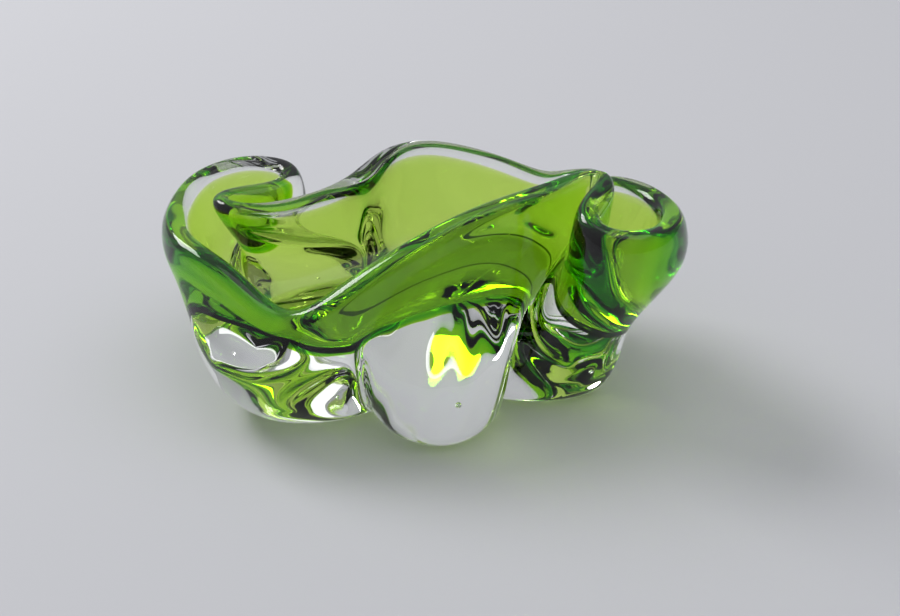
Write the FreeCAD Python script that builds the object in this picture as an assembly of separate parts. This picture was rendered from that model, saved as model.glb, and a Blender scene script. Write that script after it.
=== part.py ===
import FreeCAD, Part
import math
import os

# A free-formed bowl of heavy cased glass: clear outside, one green layer, and a thin clear skin on the inside.
# Millimetres. +X runs along the bowl to the ear on the right, +Y to the back, +Z up.
# The foot stands on z = 0, and the origin is under the middle of the bowl.

# ---- driving sizes -------------------------------------------------------------------------------------------
BOWL_LENGTH = 180.6        # over both ears
BOWL_WIDTH = 114.1         # over the front lobe and the back lobe
BOWL_HEIGHT = 79.2         # foot to the highest point of the rim
WALL = 9.0                 # glass thickness at the rim
LIP_ROUND = 5.2            # width of the flat part of the lip between its two rounded edges
LIP_DROP = 2.2             # from the crest of the lip down to where its sides begin
FLOOR_HEIGHT = 29.0        # inside floor above the table, so the clear base is almost this thick
SHOULDER_HEIGHT = 30.0     # height at which the foot lobes are widest
HEEL = 3.5                 # height of the rounded edge round the foot
HEEL_INSET = 6.0           # how far the flat foot stays inside that edge
INSTEP_HEIGHT = 13.0       # where the lobes have flared out by about half
GREEN = 2.4                # thickness of the green layer
LINING = 1.0               # clear skin between the green and the inside
GREEN_BELOW_RIM = 4.2      # from the crest of the lip down to the green's top edge
EAR_FLOOR_RIGHT = 13.0     # how far the floor of the right ear lies above the bowl's floor
EAR_FLOOR_LEFT = 6.0       # the same for the left ear
EAR_SWELL = 4.2            # how far the ears swell out below their rim
WALL_SWELL = 1.5           # the same for the plain wall
FOLD_SWELL = 1.0           # the same inside the two folds

# The drawing below was made at this size and with this middle, and is stretched to the driving sizes.
DRAWN_LENGTH = 180.6
DRAWN_WIDTH = 114.1
DRAWN_HEIGHT = 79.2
DRAWN_MIDDLE = (-1.85, 2.65)

# ---- the foot: six lobes with a groove before each -----------------------------------------------------------
# name, then crown and groove, each as (azimuth in degrees, radius at the table, radius at the shoulder), then how
# full the lobe is at the table.
LOBES = [
    ("front", (277, 52, 55), (239, 33, 45), 1.6),
    ("right", (345, 64, 72), (319, 31, 35), 1.2),
    ("back right", (401, 60, 66), (375, 53, 63), 1.8),
    ("back", (455, 54, 58), (428, 43, 48), 1.8),
    ("back left", (509, 62, 76), (484, 40, 42), 1.8),
    ("left", (566, 68, 84), (541, 58, 78), 1.4),
]

# ---- the rim: the crest of the lip, counter-clockwise from the dip in front --------------------------------
# x, y, z and the azimuth of the foot point that the wall rises from.
PLAIN_FRONT = [
    (-44, -41, 46.5, 227), (-37, -42, 49, 233), (-29, -39, 53, 239), (-19, -35, 59, 246), (-9, -30, 63.5, 256),
    (0, -25.5, 67, 267), (9, -21, 70, 278), (18, -17, 72.5, 289), (27, -13, 74, 299), (36, -8.5, 75, 308),
]
FOLD_RIGHT = [
    (45, -4, 76, 314), (53, 1, 77, 317), (60, 0, 78, 319), (60, -9, 78, 321), (54.5, -17.5, 77, 323),
]
EAR_RIGHT = [
    (51.5, -26.5, 75, 326), (58, -34.5, 73, 331), (69, -34, 72, 337), (78, -26, 70, 344), (83, -13, 69, 351),
    (82, 0, 67, 358), (77, 10, 67, 365), (70, 16, 67, 370),
]
PLAIN_BACK = [
    (63, 20, 66, 375), (60, 28, 62, 381), (62, 36, 60, 388), (60, 43, 58, 396), (53, 47, 55, 404),
    (45, 48, 53, 413), (37, 50, 55, 421), (27, 53, 58, 428), (15, 55, 61, 437), (2, 54, 64, 449),
    (-9, 49, 65, 461), (-17, 41, 64, 471), (-24, 31, 61, 479),
]
FOLD_LEFT = [
    (-33, 22, 60, 484), (-44, 14, 60, 485), (-55, 7, 61, 486), (-65, 4, 63, 487), (-72, 9, 63, 488),
    (-70, 17, 62, 489.5), (-61, 22, 61, 491), (-53, 27, 60, 493),
]
EAR_LEFT = [
    (-48, 34, 60, 496.5), (-50, 42, 61, 501), (-58, 46, 61, 506.5), (-68, 46, 61, 512), (-78, 41, 60, 518),
    (-84, 32, 59, 525), (-86.5, 20, 58, 532),
]
PLAIN_LEFT = [
    (-87, 7, 58, 540), (-84, -6, 58, 548), (-76, -17, 58, 556), (-66, -26, 56, 564), (-57, -34, 51, 573),
    (-50, -39, 47.5, 580),
]
STRETCHES = [
    ("plain", PLAIN_FRONT), ("fold", FOLD_RIGHT), ("ear", EAR_RIGHT), ("plain", PLAIN_BACK),
    ("fold", FOLD_LEFT), ("ear", EAR_LEFT), ("plain", PLAIN_LEFT),
]
# ---- the wall's rows, from the foot up and from the rim down -----------------------------------------------
# Outside, above the shoulder: share of the height, share of the way out to the rim's plan, share of the swell.
OUTSIDE_ROWS = [(0.35, 0.55, 1.0), (0.66, 0.92, 1.0), (0.88, 1.0, 0.35)]
# Inside walls: share of the height above the floor, how often the outline is evened out, inset of the plain wall.
INSIDE_ROWS = [(0.76, 1, 0.0), (0.52, 3, 0.4), (0.30, 6, 1.0)]
# Below those the outline draws in towards the spine: height above the floor, or None on the flat, then the
# share kept of the way into each ear, and the share kept of the distance to the spine.
FLOOR_ROWS = [(4.5, 0.90, 0.92), (1.6, 0.76, 0.78), (None, 0.50, 0.54), (None, 0.46, 0.43)]
# The spine runs down the middle of the inside, from the left ear's tip to the right ear's tip.
SPINE = [
    (-58, 30), (-63, 29.5), (-66.5, 24.5), (-68, 17), (-66.5, 7), (-60, -5), (-48, -11), (-22, -2), (5, 11), (30, 17),
    (47, 15), (58, 9), (66, 1), (69, -9), (68, -17), (65, -22),
]
# The points of the spine where the ears open into the bowl.
LEFT_MOUTH = 6
RIGHT_MOUTH = 10
SPINE_STEPS = 12
# Where each ear's floor starts to rise and where it is up, on x.
RISE_RIGHT = (42.0, 62.0)
RISE_LEFT = (-48.0, -66.0)

DEGREE = 3


def between(a, b, share):
    return a + (b - a) * share


def ease(share):
    """0 to 1 with no kink at either end."""
    share = min(1.0, max(0.0, share))
    return share * share * (3 - 2 * share)


def stretched(x, y):
    """A drawn plan point at the driving sizes, with the bowl's middle on the origin."""
    wide = (x - DRAWN_MIDDLE[0]) * BOWL_LENGTH / DRAWN_LENGTH
    deep = (y - DRAWN_MIDDLE[1]) * BOWL_WIDTH / DRAWN_WIDTH
    return wide, deep


class Station:
    """One place round the bowl: its crest point, its foot point and the stretch of rim that it belongs to."""

    def __init__(self, kind, x, y, z, azimuth):
        self.kind = kind
        self.x, self.y = stretched(x, y)
        self.z = z * BOWL_HEIGHT / DRAWN_HEIGHT
        self.azimuth = azimuth

    def at_radius(self, radius):
        """The plan point at this azimuth and drawn radius, stretched to the driving sizes."""
        turn = math.radians(self.azimuth)
        return stretched(radius * math.cos(turn), radius * math.sin(turn))


def all_stations():
    stations = []
    for kind, points in STRETCHES:
        stations += [Station(kind, *point) for point in points]
    return stations


def lobe_radius(azimuth, level):
    """Radius of the lobed outline, at the table for level 1 and at the shoulder for level 2."""
    first = LOBES[0][2][0]
    azimuth = (azimuth - first) % 360 + first
    for place, (_, crown, groove, fullness) in enumerate(LOBES):
        following = LOBES[(place + 1) % len(LOBES)][2]
        end = following[0] + (360 if place + 1 == len(LOBES) else 0)
        if not groove[0] <= azimuth < end:
            continue
        if azimuth < crown[0]:
            share = (azimuth - groove[0]) / (crown[0] - groove[0])
            low = groove[level]
        else:
            share = (end - azimuth) / (end - crown[0])
            low = following[level]
        return between(low, crown[level], 1 - (1 - share) ** (fullness * level))
    raise ValueError(azimuth)


def even_out(points, passes):
    """Moves each point of a closed outline halfway to its neighbours' middle, passes times."""
    for _ in range(passes):
        before = points[-1:] + points[:-1]
        after = points[1:] + points[:1]
        points = [
            tuple(b + 0.25 * (a - 2 * b + c) for a, b, c in zip(left, point, right))
            for left, point, right in zip(before, points, after)
        ]
    return points


class Spine:
    """A smooth curve down the middle of the inside, which the floor's outline draws in towards."""

    def __init__(self):
        drawn = [stretched(*point) for point in SPINE]
        ends = [drawn[0]] + drawn + [drawn[-1]]
        self.points = []
        for place in range(len(drawn) - 1):
            for step in range(SPINE_STEPS):
                self.points.append(self.through(ends[place:place + 4], step / SPINE_STEPS))
        self.points.append(drawn[-1])

    @staticmethod
    def through(four, share):
        """The point at this share of the way from the second to the third of four points, on a smooth curve."""
        a, b, c, d = four
        return tuple(
            0.5 * (2 * q + (r - p) * share + (2 * p - 5 * q + 4 * r - s) * share ** 2
                   + (3 * q - p - 3 * r + s) * share ** 3)
            for p, q, r, s in zip(a, b, c, d)
        )

    def nearest(self, point):
        """The place on the spine nearest to a point."""
        return min(range(len(self.points)), key=lambda k: math.dist(self.points[k], point))

    def at(self, place):
        """The spine's point and direction at a place between its points."""
        low = min(max(int(place), 1), len(self.points) - 3)
        share = place - low
        near = self.points[low]
        far = self.points[low + 1]
        before = self.points[low - 1]
        after = self.points[low + 2]
        spot = (between(near[0], far[0], share), between(near[1], far[1], share))
        start = math.atan2(far[1] - before[1], far[0] - before[0])
        end = math.atan2(after[1] - near[1], after[0] - near[0])
        turn = math.remainder(end - start, 2 * math.pi)
        return spot, start + turn * share

    def drawn_in(self, point, into_ear, across):
        """The point moved along the spine out of its ear and across towards the spine, keeping these shares."""
        place = self.nearest(point)
        spot, angle = self.at(place)
        left = LEFT_MOUTH * SPINE_STEPS
        right = RIGHT_MOUTH * SPINE_STEPS
        kept = place
        if place < left:
            kept = left - (left - place) * into_ear
        elif place > right:
            kept = right + (place - right) * into_ear
        target, turned = self.at(kept)
        dx, dy = point[0] - spot[0], point[1] - spot[1]
        turn = turned - angle
        x = target[0] + across * (dx * math.cos(turn) - dy * math.sin(turn))
        y = target[1] + across * (dx * math.sin(turn) + dy * math.cos(turn))
        return x, y


def outward(points):
    """The outward normal in plan at each point of a closed counter-clockwise outline."""
    normals = []
    for place in range(len(points)):
        back = points[place - 1]
        ahead = points[(place + 1) % len(points)]
        dx, dy = ahead[0] - back[0], ahead[1] - back[1]
        length = math.hypot(dx, dy)
        normals.append((dy / length, -dx / length))
    return normals


def stepped(points, steps):
    """The outline moved outwards by each point's own step."""
    return [(p[0] + n[0] * s, p[1] + n[1] * s) for p, n, s in zip(points, outward(points), steps)]


def floor_at(x):
    """Height of the inside floor, which rises into both ears."""
    right = ease((x - RISE_RIGHT[0]) / (RISE_RIGHT[1] - RISE_RIGHT[0]))
    left = ease((x - RISE_LEFT[0]) / (RISE_LEFT[1] - RISE_LEFT[0]))
    return FLOOR_HEIGHT + EAR_FLOOR_RIGHT * right + EAR_FLOOR_LEFT * left


def crest_row(stations):
    return [(s.x, s.y, s.z + LIP_DROP - 1) for s in stations]


def outside_rows(stations):
    """Poles of the outer skin, from the edge of the flat foot up to the crest."""
    rows = []
    for z, share, step in (
        (0.0, 0.0, -HEEL_INSET), (0.0, 0.0, -HEEL_INSET / 4), (HEEL, 0.12, HEEL_INSET / 4),
        (INSTEP_HEIGHT, 0.55, HEEL_INSET / 3), (SHOULDER_HEIGHT, 1.0, 0.0),
    ):
        row = []
        for s in stations:
            radius = between(lobe_radius(s.azimuth, 1), lobe_radius(s.azimuth, 2), share) + step
            row.append(s.at_radius(radius) + (z,))
        rows.append(row)
    shoulder = rows[-1]
    crest = [(s.x, s.y) for s in stations]
    swells = {"ear": EAR_SWELL, "plain": WALL_SWELL, "fold": FOLD_SWELL}
    swell = [share[0] for share in even_out([(swells[s.kind],) for s in stations], 2)]
    for height, reach, swollen in OUTSIDE_ROWS:
        plan = stepped(crest, [WALL / 2 + step * swollen for step in swell])
        rows.append([
            (between(low[0], x, reach), between(low[1], y, reach), between(low[2], s.z - 1, height))
            for low, (x, y), s in zip(shoulder, plan, stations)
        ])
    rows.append(lip_row(stations, WALL / 2, -1.0))
    rows.append(lip_row(stations, LIP_ROUND / 2, LIP_DROP - 1))
    rows.append(crest_row(stations))
    return rows


def lip_row(stations, step, rise):
    plan = stepped([(s.x, s.y) for s in stations], [step] * len(stations))
    return [(x, y, s.z + rise) for (x, y), s in zip(plan, stations)]


def inside_rows(stations):
    """Poles of the inner skin, from the crest down to the edge of the flat floor."""
    rows = [crest_row(stations)]
    rows.append(lip_row(stations, -LIP_ROUND / 2, LIP_DROP - 1))
    rows.append(lip_row(stations, -WALL / 2, -1.0))
    crest = [(s.x, s.y) for s in stations]
    wall = stepped(crest, [-WALL / 2 - 0.6] * len(stations))
    rooms = {"ear": 0.0, "plain": 1.0, "fold": 0.3}
    room = [share[0] for share in even_out([(rooms[s.kind],) for s in stations], 3)]
    for height, passes, inset in INSIDE_ROWS:
        outline = even_out(wall, passes)
        plan = stepped(outline, [-inset * share for share in room])
        rows.append([(x, y, between(floor_at(x), s.z, height)) for (x, y), s in zip(plan, stations)])
    spine = Spine()
    for lift, into_ear, across in FLOOR_ROWS:
        drawn_in = [spine.drawn_in(point, into_ear, across) for point in plan]
        if lift is None:
            rows.append([(x, y, FLOOR_HEIGHT) for x, y in drawn_in])
        else:
            rows.append([(x, y, floor_at(x) + lift) for x, y in drawn_in])
    return rows


def into_glass(rows, depth):
    """The inner skin's rows moved into the glass by depth: along their normals, and straight down on the flat."""
    moved = []
    flat_from = len(rows) - sum(lift is None for lift, _, _ in FLOOR_ROWS)
    for level in range(3, len(rows)):
        row = rows[level]
        above = rows[level - 1]
        below = rows[min(level + 1, len(rows) - 1)]
        out = []
        for place, pole in enumerate(row):
            if level >= flat_from:
                out.append((pole[0], pole[1], pole[2] - depth))
                continue
            back = FreeCAD.Vector(*row[place - 1])
            ahead = FreeCAD.Vector(*row[(place + 1) % len(row)])
            down = FreeCAD.Vector(*below[place]) - FreeCAD.Vector(*above[place])
            normal = down.cross(ahead - back).normalize()
            out.append(tuple(FreeCAD.Vector(*pole) + normal * depth))
        moved.append(out)
    return moved


def green_edge(stations):
    """The green's top edge: in the lip, GREEN_BELOW_RIM under the crest, midway through the green."""
    depth = WALL / 2 - LINING - GREEN / 2
    return lip_row(stations, -depth, LIP_DROP - 1 - GREEN_BELOW_RIM)


def green_rows(stations, inner, depth, side):
    """One face of the green layer, from its rounded top edge down to its flat floor."""
    middle = WALL / 2 - LINING - GREEN / 2
    turned = lip_row(stations, side * GREEN / 2 - middle, LIP_DROP - 1 - GREEN_BELOW_RIM)
    return [green_edge(stations), turned] + into_glass(inner, depth)


def band_rows(stations):
    """The joint between casing and lining inside the lip, from the crest down to the green's top edge."""
    crest = crest_row(stations)
    edge = green_edge(stations)
    rows = [crest]
    for share in (1 / 3, 2 / 3):
        rows.append([tuple(between(a, b, share) for a, b in zip(top, low)) for top, low in zip(crest, edge)])
    rows.append(edge)
    return rows


def skin(rows):
    """A cubic B-spline face through closed rows of poles: periodic round the bowl, clamped up the wall."""
    count = len(rows[0])
    spans = len(rows) - DEGREE
    poles = [[FreeCAD.Vector(*row[place]) for row in rows] for place in range(count)]
    surface = Part.BSplineSurface()
    surface.buildFromPolesMultsKnots(
        poles,
        [1] * (count + 1),
        [DEGREE + 1] + [1] * (spans - 1) + [DEGREE + 1],
        [float(k) for k in range(count + 1)],
        [float(k) for k in range(spans + 1)],
        True, False, DEGREE, DEGREE,
    )
    return surface


def cap(surface, last):
    """The flat face that closes a skin at its first or last row."""
    bounds = surface.bounds()
    edge = surface.vIso(bounds[3] if last else bounds[2]).toShape()
    return Part.Face(Part.Wire([edge]))


def solid(faces):
    shell = Part.makeShell(faces)
    shell.sewShape()
    body = Part.makeSolid(Part.Shell(shell.Faces))
    if body.Volume < 0:
        body.reverse()
    return body


def glass_layers():
    stations = all_stations()
    inner = inside_rows(stations)
    outside = skin(outside_rows(stations))
    inside = skin(inner)
    band = skin(band_rows(stations))
    green_outside = skin(green_rows(stations, inner, LINING + GREEN, 1))
    green_inside = skin(green_rows(stations, inner, LINING, -1))
    foot = cap(outside, last=False)
    floor = cap(inside, last=True)
    green_bottom = cap(green_outside, last=True)
    green_top = cap(green_inside, last=True)
    return {
        "clear_casing": solid([foot, outside.toShape(), band.toShape(), green_outside.toShape(), green_bottom]),
        "green_layer": solid([green_outside.toShape(), green_bottom, green_inside.toShape(), green_top]),
        "clear_lining": solid([inside.toShape(), floor, band.toShape(), green_inside.toShape(), green_top]),
    }


def main():
    os.makedirs("parts", exist_ok=True)
    for name, body in glass_layers().items():
        body.exportStep("parts/" + name + ".step")
        box = body.BoundBox
        print(name, "valid", body.isValid(), "solids", len(body.Solids), "volume cm3 %.1f" % (body.Volume / 1000))
        print("   x %.2f %.2f y %.2f %.2f z %.2f %.2f" % (box.XMin, box.XMax, box.YMin, box.YMax, box.ZMin, box.ZMax))


main()
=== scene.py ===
"""A free-formed cased glass bowl: clear outside, one green layer, and a thin clear skin inside.

Lengths are millimetres in the form classes and metres in every mesh, light and camera.
"""

import logging
import math
from dataclasses import dataclass, field
from enum import Enum

import bmesh
import bpy
import numpy as np
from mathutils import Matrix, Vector

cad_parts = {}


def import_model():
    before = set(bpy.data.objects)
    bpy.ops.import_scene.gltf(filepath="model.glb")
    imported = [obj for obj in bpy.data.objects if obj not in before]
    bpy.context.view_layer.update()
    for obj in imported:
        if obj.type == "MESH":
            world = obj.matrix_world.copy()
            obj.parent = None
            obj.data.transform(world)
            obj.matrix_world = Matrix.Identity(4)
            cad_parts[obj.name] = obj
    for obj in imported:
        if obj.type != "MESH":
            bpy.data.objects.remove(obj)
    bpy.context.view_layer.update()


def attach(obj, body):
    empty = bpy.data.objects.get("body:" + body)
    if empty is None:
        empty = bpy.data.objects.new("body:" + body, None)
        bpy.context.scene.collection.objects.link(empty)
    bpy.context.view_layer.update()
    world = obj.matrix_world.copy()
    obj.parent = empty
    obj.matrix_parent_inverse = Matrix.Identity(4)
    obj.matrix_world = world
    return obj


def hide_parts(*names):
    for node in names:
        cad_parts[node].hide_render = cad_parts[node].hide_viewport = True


log = logging.getLogger("glass_bowl")
MM = 0.001
DEGREE = 3
JUST_UNDER_ONE = 1 - 1e-12
Colour = tuple[float, float, float, float]
Place = tuple[float, float, float]


class Stretch(Enum):
    """What kind of wall a stretch of the rim stands on."""

    PLAIN = "plain"
    FOLD = "fold"
    EAR = "ear"


@dataclass(frozen=True)
class Ring:
    """Azimuth in degrees and the two radii of a lobe's crown or groove."""

    azimuth: float
    at_table: float
    at_shoulder: float


@dataclass(frozen=True)
class Lobe:
    """One lobe of the solid base, with the groove before it."""

    crown: Ring
    groove: Ring
    fullness: float


LOBES = (
    Lobe(Ring(277, 52, 55), Ring(239, 33, 45), 1.6),
    Lobe(Ring(345, 64, 72), Ring(319, 31, 35), 1.2),
    Lobe(Ring(401, 60, 66), Ring(375, 53, 63), 1.8),
    Lobe(Ring(455, 54, 58), Ring(428, 43, 48), 1.8),
    Lobe(Ring(509, 62, 76), Ring(484, 40, 42), 1.8),
    Lobe(Ring(566, 68, 84), Ring(541, 58, 78), 1.4),
)
# Each stretch of the rim: x, y and z of the lip's crest, and the azimuth of the foot point below it.
RIM = (
    (Stretch.PLAIN, (
        (-44, -41, 46.5, 227), (-37, -42, 49, 233), (-29, -39, 53, 239), (-19, -35, 59, 246),
        (-9, -30, 63.5, 256), (0, -25.5, 67, 267), (9, -21, 70, 278), (18, -17, 72.5, 289),
        (27, -13, 74, 299), (36, -8.5, 75, 308),
    )),
    (Stretch.FOLD, (
        (45, -4, 76, 314), (53, 1, 77, 317), (60, 0, 78, 319), (60, -9, 78, 321), (54.5, -17.5, 77, 323),
    )),
    (Stretch.EAR, (
        (51.5, -26.5, 75, 326), (58, -34.5, 73, 331), (69, -34, 72, 337), (78, -26, 70, 344),
        (83, -13, 69, 351), (82, 0, 67, 358), (77, 10, 67, 365), (70, 16, 67, 370),
    )),
    (Stretch.PLAIN, (
        (63, 20, 66, 375), (60, 28, 62, 381), (62, 36, 60, 388), (60, 43, 58, 396), (53, 47, 55, 404),
        (45, 48, 53, 413), (37, 50, 55, 421), (27, 53, 58, 428), (15, 55, 61, 437), (2, 54, 64, 449),
        (-9, 49, 65, 461), (-17, 41, 64, 471), (-24, 31, 61, 479),
    )),
    (Stretch.FOLD, (
        (-33, 22, 60, 484), (-44, 14, 60, 485), (-55, 7, 61, 486), (-65, 4, 63, 487), (-72, 9, 63, 488),
        (-70, 17, 62, 489.5), (-61, 22, 61, 491), (-53, 27, 60, 493),
    )),
    (Stretch.EAR, (
        (-48, 34, 60, 496.5), (-50, 42, 61, 501), (-58, 46, 61, 506.5), (-68, 46, 61, 512),
        (-78, 41, 60, 518), (-84, 32, 59, 525), (-86.5, 20, 58, 532),
    )),
    (Stretch.PLAIN, (
        (-87, 7, 58, 540), (-84, -6, 58, 548), (-76, -17, 58, 556), (-66, -26, 56, 564),
        (-57, -34, 51, 573), (-50, -39, 47.5, 580),
    )),
)
# The middle of the inside, from the left ear's tip to the right ear's tip.
SPINE = (
    (-58, 30), (-63, 29.5), (-66.5, 24.5), (-68, 17), (-66.5, 7), (-60, -5), (-48, -11), (-22, -2), (5, 11),
    (30, 17), (47, 15), (58, 9), (66, 1), (69, -9), (68, -17), (65, -22),
)


def ease(share: np.ndarray) -> np.ndarray:
    """Goes from 0 to 1 with no kink at either end."""
    share = np.clip(share, 0.0, 1.0)
    return share * share * (3 - 2 * share)


def even_out(points: np.ndarray, passes: int) -> np.ndarray:
    """Moves each point of a closed outline halfway to its neighbours' middle.

    Args:
        points: One row per point.
        passes: How often to do it.

    Returns:
        The evened points.
    """
    for _ in range(passes):
        points = points + 0.25 * (np.roll(points, 1, 0) - 2 * points + np.roll(points, -1, 0))
    return points


def stepped(plan: np.ndarray, steps: np.ndarray | float) -> np.ndarray:
    """Moves a closed plan outline outwards.

    Args:
        plan: x and y of each point, counter-clockwise.
        steps: How far each point moves; negative is inwards.

    Returns:
        The moved outline.
    """
    chord = np.roll(plan, -1, 0) - np.roll(plan, 1, 0)
    chord /= np.linalg.norm(chord, axis=1, keepdims=True)
    normal = np.stack([chord[:, 1], -chord[:, 0]], axis=1)
    return plan + normal * np.reshape(steps * np.ones(len(plan)), (-1, 1))


def with_height(plan: np.ndarray, height: np.ndarray | float) -> np.ndarray:
    """Joins a plan outline and its heights into x, y, z."""
    return np.column_stack([plan, height * np.ones(len(plan))])


class SplineSkin:
    """A cubic B-spline skin through closed rows of poles: periodic round the bowl, clamped up the wall."""

    def __init__(self, rows: list[np.ndarray]) -> None:
        """Keeps the rows, from the first edge to the last."""
        self.poles = np.array(rows)

    def points(self, around: int, up: int) -> np.ndarray:
        """Evaluates the skin on a grid.

        Args:
            around: Points round the bowl.
            up: Rows from the first edge to the last.

        Returns:
            An array of up rows of around points.
        """
        return np.einsum("vm,mux->vux", self._clamped(up), self._round(around))

    def _round(self, around: int) -> np.ndarray:
        """Evaluates every row of poles as a closed curve."""
        count = self.poles.shape[1]
        place = np.arange(around) / around * count
        whole = np.floor(place).astype(int)
        f = (place - whole)[:, None]
        weights = ((1 - f) ** 3, 3 * f**3 - 6 * f**2 + 4, -3 * f**3 + 3 * f**2 + 3 * f + 1, f**3)
        return sum(self.poles[:, (whole + k - 1) % count] * weight / 6 for k, weight in enumerate(weights))

    def _clamped(self, up: int) -> np.ndarray:
        """The weight of each row of poles at each height."""
        count = len(self.poles)
        knots = np.concatenate([np.zeros(DEGREE), np.linspace(0, 1, count - DEGREE + 1), np.ones(DEGREE)])
        heights = np.minimum(np.linspace(0, 1, up), JUST_UNDER_ONE)
        weights = ((knots[:-1] <= heights[:, None]) & (heights[:, None] < knots[1:])).astype(float)
        for degree in range(1, DEGREE + 1):
            after = np.zeros((up, len(knots) - 1 - degree))
            for k in range(after.shape[1]):
                rise = knots[k + degree] - knots[k]
                fall = knots[k + degree + 1] - knots[k + 1]
                if rise > 0:
                    after[:, k] += (heights - knots[k]) / rise * weights[:, k]
                if fall > 0:
                    after[:, k] += (knots[k + degree + 1] - heights) / fall * weights[:, k + 1]
            weights = after
        return weights


@dataclass
class Spine:
    """The curve that the inside's floor draws in towards."""

    middle: tuple[float, float]
    steps: int = 12
    left_mouth: int = 6
    right_mouth: int = 10
    points: np.ndarray = field(init=False)

    def __post_init__(self) -> None:
        """Works out the curve's points."""
        drawn = np.array(SPINE, float) - self.middle
        ends = np.vstack([drawn[:1], drawn, drawn[-1:]])
        share = (np.arange(self.steps) / self.steps)[:, None]
        runs = []
        for k in range(len(drawn) - 1):
            p, q, r, s = ends[k:k + 4]
            runs.append(0.5 * (
                2 * q + (r - p) * share + (2 * p - 5 * q + 4 * r - s) * share**2
                + (3 * q - p - 3 * r + s) * share**3
            ))
        self.points = np.vstack(runs + [drawn[-1:]])

    def at(self, place: float) -> tuple[np.ndarray, float]:
        """The point and the direction at a place between the curve's points."""
        low = min(max(int(place), 1), len(self.points) - 3)
        before, near, far, after = self.points[low - 1:low + 3]
        start = math.atan2(*(far - before)[::-1])
        end = math.atan2(*(after - near)[::-1])
        share = place - low
        return near + (far - near) * share, start + math.remainder(end - start, math.tau) * share

    def drawn_in(self, point: np.ndarray, into_ear: float, across: float) -> np.ndarray:
        """Moves a point along the curve out of its ear, and across towards the curve.

        Args:
            point: x and y.
            into_ear: The share kept of the way into the ear.
            across: The share kept of the distance to the curve.

        Returns:
            The moved x and y.
        """
        place = int(np.argmin(np.linalg.norm(self.points - point, axis=1)))
        spot, angle = self.at(place)
        left = self.left_mouth * self.steps
        right = self.right_mouth * self.steps
        kept = place
        if place < left:
            kept = left - (left - place) * into_ear
        elif place > right:
            kept = right + (place - right) * into_ear
        target, turned = self.at(kept)
        turn = turned - angle
        dx, dy = point - spot
        across_x = dx * math.cos(turn) - dy * math.sin(turn)
        across_y = dx * math.sin(turn) + dy * math.cos(turn)
        return target + across * np.array([across_x, across_y])


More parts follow.
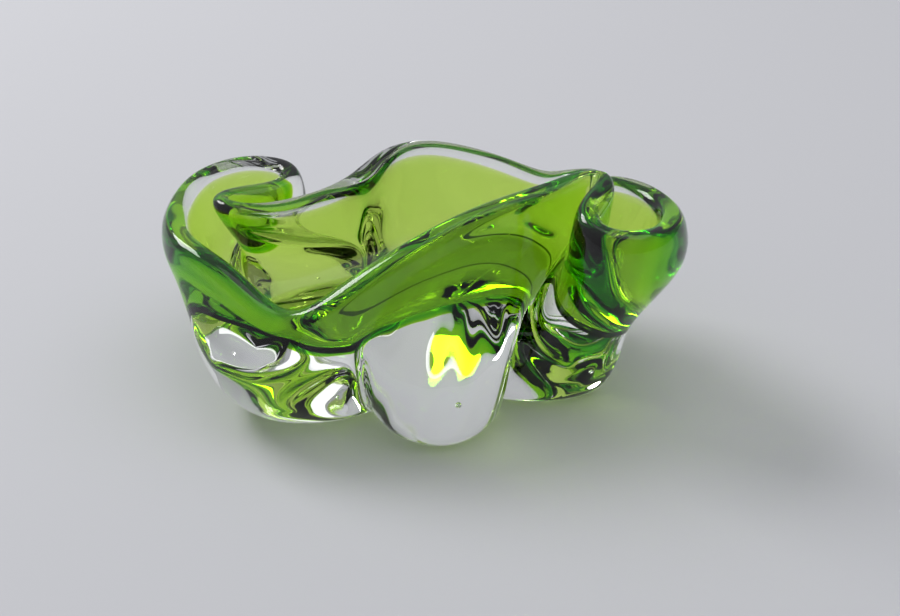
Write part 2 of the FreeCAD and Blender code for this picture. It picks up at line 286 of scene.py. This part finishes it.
@dataclass
class BowlForm:
    """The bowl's sizes in millimetres, and the rows of poles of all its skins."""

    wall: float = 9.0
    lip_round: float = 5.2
    lip_drop: float = 2.2
    edge_drop: float = 1.0
    inside_inset: float = 0.6
    floor_height: float = 29.0
    shoulder_height: float = 30.0
    heel: float = 3.5
    heel_inset: float = 6.0
    heel_share: float = 0.12
    instep_height: float = 13.0
    instep_share: float = 0.55
    green: float = 2.4
    lining: float = 1.0
    green_below_rim: float = 4.2
    ear_floor_right: float = 13.0
    ear_floor_left: float = 6.0
    rise_right: tuple[float, float] = (42.0, 62.0)
    rise_left: tuple[float, float] = (-48.0, -66.0)
    middle: tuple[float, float] = (-1.85, 2.65)
    swells: dict[Stretch, float] = field(default_factory=lambda: {
        Stretch.EAR: 4.2, Stretch.PLAIN: 1.5, Stretch.FOLD: 1.0})
    rooms: dict[Stretch, float] = field(default_factory=lambda: {
        Stretch.EAR: 0.0, Stretch.PLAIN: 1.0, Stretch.FOLD: 0.3})
    outside_rows: tuple = ((0.35, 0.55, 1.0), (0.66, 0.92, 1.0), (0.88, 1.0, 0.35))
    inside_rows: tuple = ((0.76, 1, 0.0), (0.52, 3, 0.4), (0.30, 6, 1.0))
    floor_rows: tuple = ((4.5, 0.90, 0.92), (1.6, 0.76, 0.78), (None, 0.50, 0.54), (None, 0.46, 0.43))
    flat_rows: int = 2
    swell_passes: int = 2
    room_passes: int = 3

    def __post_init__(self) -> None:
        """Lays out the stations round the rim."""
        rows = [row for _, points in RIM for row in points]
        self.kinds = [kind for kind, points in RIM for _ in points]
        table = np.array(rows, float)
        self.crest = table[:, :2] - self.middle
        self.height = table[:, 2]
        self.azimuth = table[:, 3]
        self.crest_rise = self.lip_drop - self.edge_drop

    def lobe_radius(self, azimuth: float, shoulder: bool) -> float:
        """Radius of the lobed base.

        Args:
            azimuth: In degrees.
            shoulder: True at the shoulder, False at the table.

        Returns:
            The radius in millimetres.
        """
        first = LOBES[0].groove.azimuth
        azimuth = (azimuth - first) % 360 + first
        for place, lobe in enumerate(LOBES):
            after = LOBES[(place + 1) % len(LOBES)].groove
            end = after.azimuth + (360 if place + 1 == len(LOBES) else 0)
            if not lobe.groove.azimuth <= azimuth < end:
                continue
            rising = azimuth < lobe.crown.azimuth
            low = lobe.groove if rising else after
            start = lobe.groove.azimuth if rising else end
            share = (azimuth - start) / (lobe.crown.azimuth - start)
            deep, wide = (low.at_shoulder, lobe.crown.at_shoulder) if shoulder else (
                low.at_table, lobe.crown.at_table)
            return deep + (wide - deep) * (1 - (1 - share) ** (lobe.fullness * (2 if shoulder else 1)))
        raise ValueError(azimuth)

    def floor_at(self, x: np.ndarray) -> np.ndarray:
        """Height of the inside floor, which rises into both ears."""
        right = ease((x - self.rise_right[0]) / (self.rise_right[1] - self.rise_right[0]))
        left = ease((x - self.rise_left[0]) / (self.rise_left[1] - self.rise_left[0]))
        return self.floor_height + self.ear_floor_right * right + self.ear_floor_left * left

    def lip(self, step: float, rise: float) -> np.ndarray:
        """A row beside the lip's crest, step outwards and rise up."""
        return with_height(stepped(self.crest, step), self.height + rise)

    def outside(self) -> list[np.ndarray]:
        """The outer skin's rows, from the flat foot's edge up to the crest of the lip."""
        turn = np.radians(self.azimuth)
        way = np.stack([np.cos(turn), np.sin(turn)], axis=1)
        at_table = np.array([self.lobe_radius(a, False) for a in self.azimuth])
        at_shoulder = np.array([self.lobe_radius(a, True) for a in self.azimuth])
        rows = []
        for z, share, step in (
            (0.0, 0.0, -self.heel_inset), (0.0, 0.0, -self.heel_inset / 4),
            (self.heel, self.heel_share, self.heel_inset / 4),
            (self.instep_height, self.instep_share, self.heel_inset / 3), (self.shoulder_height, 1.0, 0.0),
        ):
            radius = at_table + (at_shoulder - at_table) * share + step
            rows.append(with_height(way * radius[:, None] - self.middle, z))
        shoulder = rows[-1]
        swell = even_out(np.array([self.swells[kind] for kind in self.kinds]), self.swell_passes)
        for height, reach, swollen in self.outside_rows:
            plan = stepped(self.crest, self.wall / 2 + swell * swollen)
            out = shoulder[:, :2] + (plan - shoulder[:, :2]) * reach
            rise = (self.height - self.edge_drop - shoulder[:, 2]) * height
            rows.append(with_height(out, shoulder[:, 2] + rise))
        rows.append(self.lip(self.wall / 2, -self.edge_drop))
        rows.append(self.lip(self.lip_round / 2, self.crest_rise))
        rows.append(with_height(self.crest, self.height + self.crest_rise))
        return rows

    def inside(self) -> list[np.ndarray]:
        """The inner skin's rows, from the crest of the lip down to the flat floor's edge."""
        rows = [with_height(self.crest, self.height + self.crest_rise)]
        rows.append(self.lip(-self.lip_round / 2, self.crest_rise))
        rows.append(self.lip(-self.wall / 2, -self.edge_drop))
        wall = stepped(self.crest, -self.wall / 2 - self.inside_inset)
        room = even_out(np.array([self.rooms[kind] for kind in self.kinds]), self.room_passes)
        for height, passes, inset in self.inside_rows:
            plan = stepped(even_out(wall, passes), -inset * room)
            floor = self.floor_at(plan[:, 0])
            rows.append(with_height(plan, floor + (self.height - floor) * height))
        plan = even_out(wall, self.inside_rows[-1][1])
        spine = Spine(self.middle)
        for lift, into_ear, across in self.floor_rows:
            drawn = np.array([spine.drawn_in(point, into_ear, across) for point in plan])
            height = self.floor_height if lift is None else self.floor_at(drawn[:, 0]) + lift
            rows.append(with_height(drawn, height))
        return rows

    def green_face(self, depth: float, side: int) -> list[np.ndarray]:
        """One face of the green layer.

        Args:
            depth: How far it lies in the glass, measured from the inner skin.
            side: 1 for the outer face, -1 for the inner one.

        Returns:
            Its rows, from the rounded top edge down to the flat floor.
        """
        middle = self.wall / 2 - self.lining - self.green / 2
        drop = self.crest_rise - self.green_below_rim
        inner = self.inside()
        rows = [self.lip(-middle, drop), self.lip(side * self.green / 2 - middle, drop)]
        for level in range(DEGREE, len(inner)):
            row = inner[level]
            if level >= len(inner) - self.flat_rows:
                rows.append(row - [0, 0, depth])
                continue
            down = inner[min(level + 1, len(inner) - 1)] - inner[level - 1]
            normal = np.cross(down, np.roll(row, -1, 0) - np.roll(row, 1, 0))
            rows.append(row + normal / np.linalg.norm(normal, axis=1, keepdims=True) * depth)
        return rows


class Socket:
    """One output of a node, with arithmetic that adds nodes."""

    def __init__(self, shader: "Shader", output: bpy.types.NodeSocket) -> None:
        """Keeps the shader that the output belongs to, and the output."""
        self.shader = shader
        self.output = output

    def _math(self, operation: str, first: object, second: object) -> "Socket":
        """Adds a Math node for two values."""
        return self.shader.node("ShaderNodeMath", {"operation": operation}, {0: first, 1: second})

    def __add__(self, other: object) -> "Socket":
        """Adds."""
        return self._math("ADD", self, other)

    def __rsub__(self, other: object) -> "Socket":
        """Takes this away from other."""
        return self._math("SUBTRACT", other, self)

    def __mul__(self, other: object) -> "Socket":
        """Multiplies."""
        return self._math("MULTIPLY", self, other)

    def above(self, other: object) -> "Socket":
        """The greater of this and other."""
        return self._math("MAXIMUM", self, other)


class Shader:
    """A material or a world, and its nodes."""

    def __init__(self, owner: bpy.types.ID) -> None:
        """Empties the owner's node tree."""
        owner.use_nodes = True
        self.tree = owner.node_tree
        self.tree.nodes.clear()

    def node(
        self, kind: str, settings: dict | None = None, inputs: dict | None = None, out: object = 0
    ) -> Socket:
        """Adds a node.

        Args:
            kind: The node's type.
            settings: Its own settings, which are set first.
            inputs: Values or sockets by input name or number.
            out: The output to return, by name or number.

        Returns:
            The output, wrapped.
        """
        made = self.tree.nodes.new(kind)
        for name, value in (settings or {}).items():
            setattr(made, name, value)
        for name, value in (inputs or {}).items():
            if isinstance(value, Socket):
                self.tree.links.new(value.output, made.inputs[name])
            else:
                made.inputs[name].default_value = value
        return Socket(self, made.outputs[out] if len(made.outputs) else None)

    def mixed(self, share: object, first: object, second: object) -> Socket:
        """Mixes two colours."""
        inputs = {0: share, 6: first, 7: second}
        return self.node("ShaderNodeMix", {"data_type": "RGBA"}, inputs, 2)


@dataclass(frozen=True)
class ClearGlass:
    """Fire-polished clear glass with faint waves left by the tools."""

    name: str = "clear_glass"
    colour: Colour = (0.995, 1.0, 0.995, 1)
    refraction: float = 1.5
    wave_scale: float = 55.0
    wave_detail: float = 1.5
    wave_roughness: float = 0.4
    wave_strength: float = 0.035
    wave_depth: float = 0.0006

    def build(self) -> bpy.types.Material:
        """Returns the material."""
        material = bpy.data.materials.new(self.name)
        shader = Shader(material)
        place = shader.node("ShaderNodeTexCoord", out="Object")
        waves = shader.node("ShaderNodeTexNoise", None, {
            "Vector": place, "Scale": self.wave_scale, "Detail": self.wave_detail,
            "Roughness": self.wave_roughness})
        bump = shader.node("ShaderNodeBump", None, {
            "Strength": self.wave_strength, "Distance": self.wave_depth, "Height": waves})
        surface = shader.node("ShaderNodeBsdfPrincipled", None, {
            "Base Color": self.colour, "Roughness": 0.0, "Transmission Weight": 1.0,
            "IOR": self.refraction, "Normal": bump})
        shader.node("ShaderNodeOutputMaterial", None, {"Surface": surface})
        return material


@dataclass(frozen=True)
class GreenGlass:
    """The dyed layer: it bends no light inside the clear glass, but takes up red and blue."""

    name: str = "green_glass"
    dye: Colour = (0.78, 0.93, 0.10, 1)
    strength: float = 800.0
    untinted: Colour = (1.0, 1.0, 1.0, 1)
    streak_tint: Colour = (0.82, 0.95, 0.55, 1)
    streak_share: float = 0.5
    streak_scale: float = 26.0
    streak_detail: float = 3.0
    streak_swirl: float = 0.8
    streak_drawn: Place = (1.0, 1.0, 0.35)

    def build(self) -> bpy.types.Material:
        """Returns the material."""
        material = bpy.data.materials.new(self.name)
        shader = Shader(material)
        place = shader.node("ShaderNodeTexCoord", out="Object")
        drawn = shader.node("ShaderNodeMapping", None, {"Vector": place, "Scale": self.streak_drawn})
        streaks = shader.node("ShaderNodeTexNoise", None, {
            "Vector": drawn, "Scale": self.streak_scale, "Detail": self.streak_detail,
            "Distortion": self.streak_swirl})
        tint = shader.mixed(streaks * self.streak_share, self.untinted, self.streak_tint)
        surface = shader.node("ShaderNodeBsdfPrincipled", None, {
            "Base Color": tint, "Roughness": 0.0, "Transmission Weight": 1.0, "IOR": 1.0,
            "Specular IOR Level": 0.0})
        volume = shader.node("ShaderNodeVolumeAbsorption", None, {
            "Color": self.dye, "Density": self.strength})
        shader.node("ShaderNodeOutputMaterial", None, {"Surface": surface, "Volume": volume})
        return material


@dataclass(frozen=True)
class PaleFloor:
    """Matt pale board that keeps the bowl's shadow, and shows pale through the glass."""

    name: str = "pale_floor"
    colour: Colour = (0.56, 0.56, 0.585, 1)
    roughness: float = 0.85
    seen_through: Colour = (0.80, 0.81, 0.84, 1)
    through_glass: float = 0.16

    def build(self) -> bpy.types.Material:
        """Returns the material."""
        material = bpy.data.materials.new(self.name)
        shader = Shader(material)
        board = shader.node("ShaderNodeBsdfPrincipled", None, {
            "Base Color": self.colour, "Roughness": self.roughness})
        glow = shader.node("ShaderNodeEmission", None, {"Color": self.seen_through, "Strength": 1.0})
        glassy = shader.node("ShaderNodeLightPath", out="Is Transmission Ray") * self.through_glass
        mirrored = shader.node("ShaderNodeLightPath", out="Is Glossy Ray") * self.through_glass
        surface = shader.node("ShaderNodeMixShader", None, {0: glassy.above(mirrored), 1: board, 2: glow})
        shader.node("ShaderNodeOutputMaterial", None, {"Surface": surface})
        return material


class MeshWork:
    """Makes the closed meshes."""

    @staticmethod
    def shell(name: str, rings: np.ndarray) -> bpy.types.Object:
        """Makes a closed mesh from rings, with a flat face over each end.

        Args:
            name: The object's name.
            rings: Rows of points, in metres.

        Returns:
            The object, linked to the scene.
        """
        up, around, _ = rings.shape
        row, place = np.meshgrid(np.arange(up - 1), np.arange(around), indexing="ij")
        after = (place + 1) % around
        near, far = row * around, (row + 1) * around
        quads = np.stack([near + place, near + after, far + after, far + place], axis=-1).reshape(-1, 4).tolist()
        first = list(range(around))[::-1]
        last = list(range((up - 1) * around, up * around))
        mesh = bpy.data.meshes.new(name)
        mesh.from_pydata(rings.reshape(-1, 3).tolist(), [], quads + [first, last])
        work = bmesh.new()
        work.from_mesh(mesh)
        bmesh.ops.recalc_face_normals(work, faces=work.faces)
        work.to_mesh(mesh)
        work.free()
        mesh.polygons.foreach_set("use_smooth", [len(face.vertices) == 4 for face in mesh.polygons])
        piece = bpy.data.objects.new(name, mesh)
        bpy.context.scene.collection.objects.link(piece)
        return piece


@dataclass(frozen=True)
class Wave:
    """Waves round the outer skin: how many, their twist up the wall, where they start, and their height."""

    count: int
    twist: float
    start: float
    height: float


@dataclass
class GlassBody:
    """All the clear glass, inside and out, as one body with a few seed bubbles in its thick base."""

    form: BowlForm
    around: int = 684
    outside_rows: int = 132
    inside_rows: int = 140
    ripple: float = 0.16
    waves: tuple[Wave, ...] = (Wave(13, 0.10, 0.0, 1.0), Wave(29, -0.16, 1.0, 0.6))
    ripple_starts: tuple[float, float] = (4.0, 12.0)
    ripple_ends: tuple[float, float] = (40.0, 54.0)
    seeds: tuple = (
        (-30, -34, 12, 0.7), (12, -44, 15, 0.9), (20, -38, 9, 0.5), (58, -22, 14, 0.8), (-62, -6, 11, 0.6),
        (30, 30, 12, 0.8), (-40, 28, 14, 0.7), (66, 10, 16, 0.5),
    )

    def build(self) -> bpy.types.Object:
        """Builds, dresses and places the glass.

        Returns:
            The glass object.
        """
        outside = SplineSkin(self.form.outside()).points(self.around, self.outside_rows)
        inside = SplineSkin(self.form.inside()).points(self.around, self.inside_rows)
        outside[1:-1] = self._rippled(outside)[1:-1]
        piece = MeshWork.shell("glass_body", np.concatenate([outside, inside[1:]]) * MM)
        self._add_seeds(piece)
        piece.data.materials.append(ClearGlass().build())
        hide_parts("clear_casing", "clear_lining")
        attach(piece, "root")
        return piece

    def _rippled(self, skin: np.ndarray) -> np.ndarray:
        """Presses the long soft waves of hand forming into the outer skin."""
        height = skin[..., 2]
        begun, full = self.ripple_starts
        fading, gone = self.ripple_ends
        here = ease((height - begun) / (full - begun)) * (1 - ease((height - fading) / (gone - fading)))
        turn = np.arctan2(skin[..., 1], skin[..., 0])
        wave = sum(w.height * np.sin(w.count * turn + w.twist * height + w.start) for w in self.waves)
        deepest = sum(w.height for w in self.waves)
        out = skin[..., :2] / np.linalg.norm(skin[..., :2], axis=-1, keepdims=True)
        moved = skin.copy()
        moved[..., :2] -= out * (self.ripple * here * (deepest + wave))[..., None]
        return moved

    def _add_seeds(self, piece: bpy.types.Object) -> None:
        """Adds the bubbles, whose faces look inwards because air is inside them."""
        work = bmesh.new()
        work.from_mesh(piece.data)
        for x, y, z, radius in self.seeds:
            ball = bmesh.ops.create_icosphere(work, subdivisions=3, radius=radius * MM)
            bmesh.ops.translate(work, verts=ball["verts"], vec=Vector((x, y, z)) * MM)
            faces = list({face for vert in ball["verts"] for face in vert.link_faces})
            bmesh.ops.reverse_faces(work, faces=faces)
            for face in faces:
                face.smooth = True
        work.to_mesh(piece.data)
        work.free()


@dataclass
class GreenLayer:
    """The green layer, strictly inside the clear glass."""

    form: BowlForm
    around: int = 570
    rows: int = 120

    def build(self) -> bpy.types.Object:
        """Builds, dresses and places the layer.

        Returns:
            The layer's object.
        """
        outer = SplineSkin(self.form.green_face(self.form.lining + self.form.green, 1))
        inner = SplineSkin(self.form.green_face(self.form.lining, -1))
        rings = np.concatenate([
            outer.points(self.around, self.rows)[::-1], inner.points(self.around, self.rows)[1:]])
        piece = MeshWork.shell("green_glass_layer", rings * MM)
        piece.data.materials.append(GreenGlass().build())
        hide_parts("green_layer")
        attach(piece, "root")
        return piece


@dataclass(frozen=True)
class Lamp:
    """One square soft light, in metres and watts."""

    name: str
    place: Place
    size: float
    power: float
    aimed_at: Place = (0.0, 0.0, 0.03)

    def hang(self) -> None:
        """Hangs the light and aims it."""
        light = bpy.data.lights.new(self.name, "AREA")
        light.energy = self.power
        light.size = self.size
        lamp = bpy.data.objects.new(self.name, light)
        bpy.context.scene.collection.objects.link(lamp)
        lamp.location = self.place
        lamp.rotation_euler = (Vector(self.aimed_at) - Vector(self.place)).to_track_quat("-Z", "Y").to_euler()


@dataclass(frozen=True)
class Sky:
    """A pale sky, brighter to the left and the top."""

    name: str = "room"
    colour: Colour = (0.94, 0.96, 1.0, 1)
    level: float = 0.34
    more_at_left: float = 0.16
    more_at_back: float = 0.05
    more_at_top: float = 0.20
    dimmest: float = 0.03

    def build(self) -> None:
        """Makes it the scene's world."""
        world = bpy.data.worlds.new(self.name)
        bpy.context.scene.world = world
        shader = Shader(world)
        way = shader.node("ShaderNodeTexCoord", out="Generated")
        x, y, z = (shader.node("ShaderNodeSeparateXYZ", None, {"Vector": way}, axis) for axis in "XYZ")
        level = self.level - x * self.more_at_left + y * self.more_at_back + z * self.more_at_top
        sky = shader.node("ShaderNodeBackground", None, {
            "Color": self.colour, "Strength": level.above(self.dimmest)})
        shader.node("ShaderNodeOutputWorld", None, {"Surface": sky})


@dataclass
class Studio:
    """A pale board, soft daylight from the left and behind, and the camera, shifted by shares of its view."""

    middle: tuple[float, float]
    floor_drop: float = 0.0002
    floor_size: float = 8.0
    lamps: tuple[Lamp, ...] = (
        Lamp("window", (-1.30, 0.90, 1.35), 0.95, 27.0), Lamp("fill", (0.55, 0.10, 1.60), 1.6, 6.0))
    glass_bounces: int = 24
    clear_bounces: int = 16
    distance: float = 0.55
    elevation: float = 30.0
    half_width: float = 0.1575
    aim_height: float = 0.035
    shift: tuple[float, float] = (1 / 36, -2 / 75)

    def build(self) -> None:
        """Builds the floor, the world, the lights and the camera."""
        self._floor()
        Sky().build()
        for lamp in self.lamps:
            lamp.hang()
        self._camera()
        scene = bpy.context.scene
        scene.view_settings.view_transform = "Standard"
        scene.cycles.max_bounces = self.glass_bounces
        scene.cycles.transmission_bounces = self.glass_bounces
        scene.cycles.transparent_max_bounces = self.clear_bounces
        scene.cycles.caustics_refractive = True
        scene.cycles.caustics_reflective = False

    def _floor(self) -> None:
        """Lays the board."""
        mesh = bpy.data.meshes.new("floor")
        half = self.floor_size / 2
        outline = ((-half, -half), (half, -half), (half, half), (-half, half))
        mesh.from_pydata([(x, y, -self.floor_drop) for x, y in outline], [], [(0, 1, 2, 3)])
        mesh.materials.append(PaleFloor().build())
        floor = bpy.data.objects.new("floor", mesh)
        bpy.context.scene.collection.objects.link(floor)

    def _camera(self) -> None:
        """Sets the camera in front, looking down at the bowl."""
        data = bpy.data.cameras.new("camera")
        camera = bpy.data.objects.new("camera", data)
        bpy.context.scene.collection.objects.link(camera)
        aim = Vector((-self.middle[0] * MM, -self.middle[1] * MM, self.aim_height))
        turn = math.radians(self.elevation)
        camera.location = aim + Vector((0, -math.cos(turn), math.sin(turn))) * self.distance
        camera.rotation_euler = (aim - camera.location).to_track_quat("-Z", "Y").to_euler()
        data.sensor_fit = "HORIZONTAL"
        data.lens = data.sensor_width / 2 * self.distance / self.half_width
        data.shift_x, data.shift_y = self.shift
        bpy.context.scene.camera = camera


def main() -> None:
    """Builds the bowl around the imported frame, then the studio."""
    logging.basicConfig(level=logging.INFO, format="%(name)s: %(message)s")
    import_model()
    form = BowlForm()
    for part in (GlassBody(form), GreenLayer(form)):
        piece = part.build()
        log.info("built %s with %d faces", piece.name, len(piece.data.polygons))
    Studio(form.middle).build()
    log.info("built the studio")


if __name__ == "__main__":
    main()
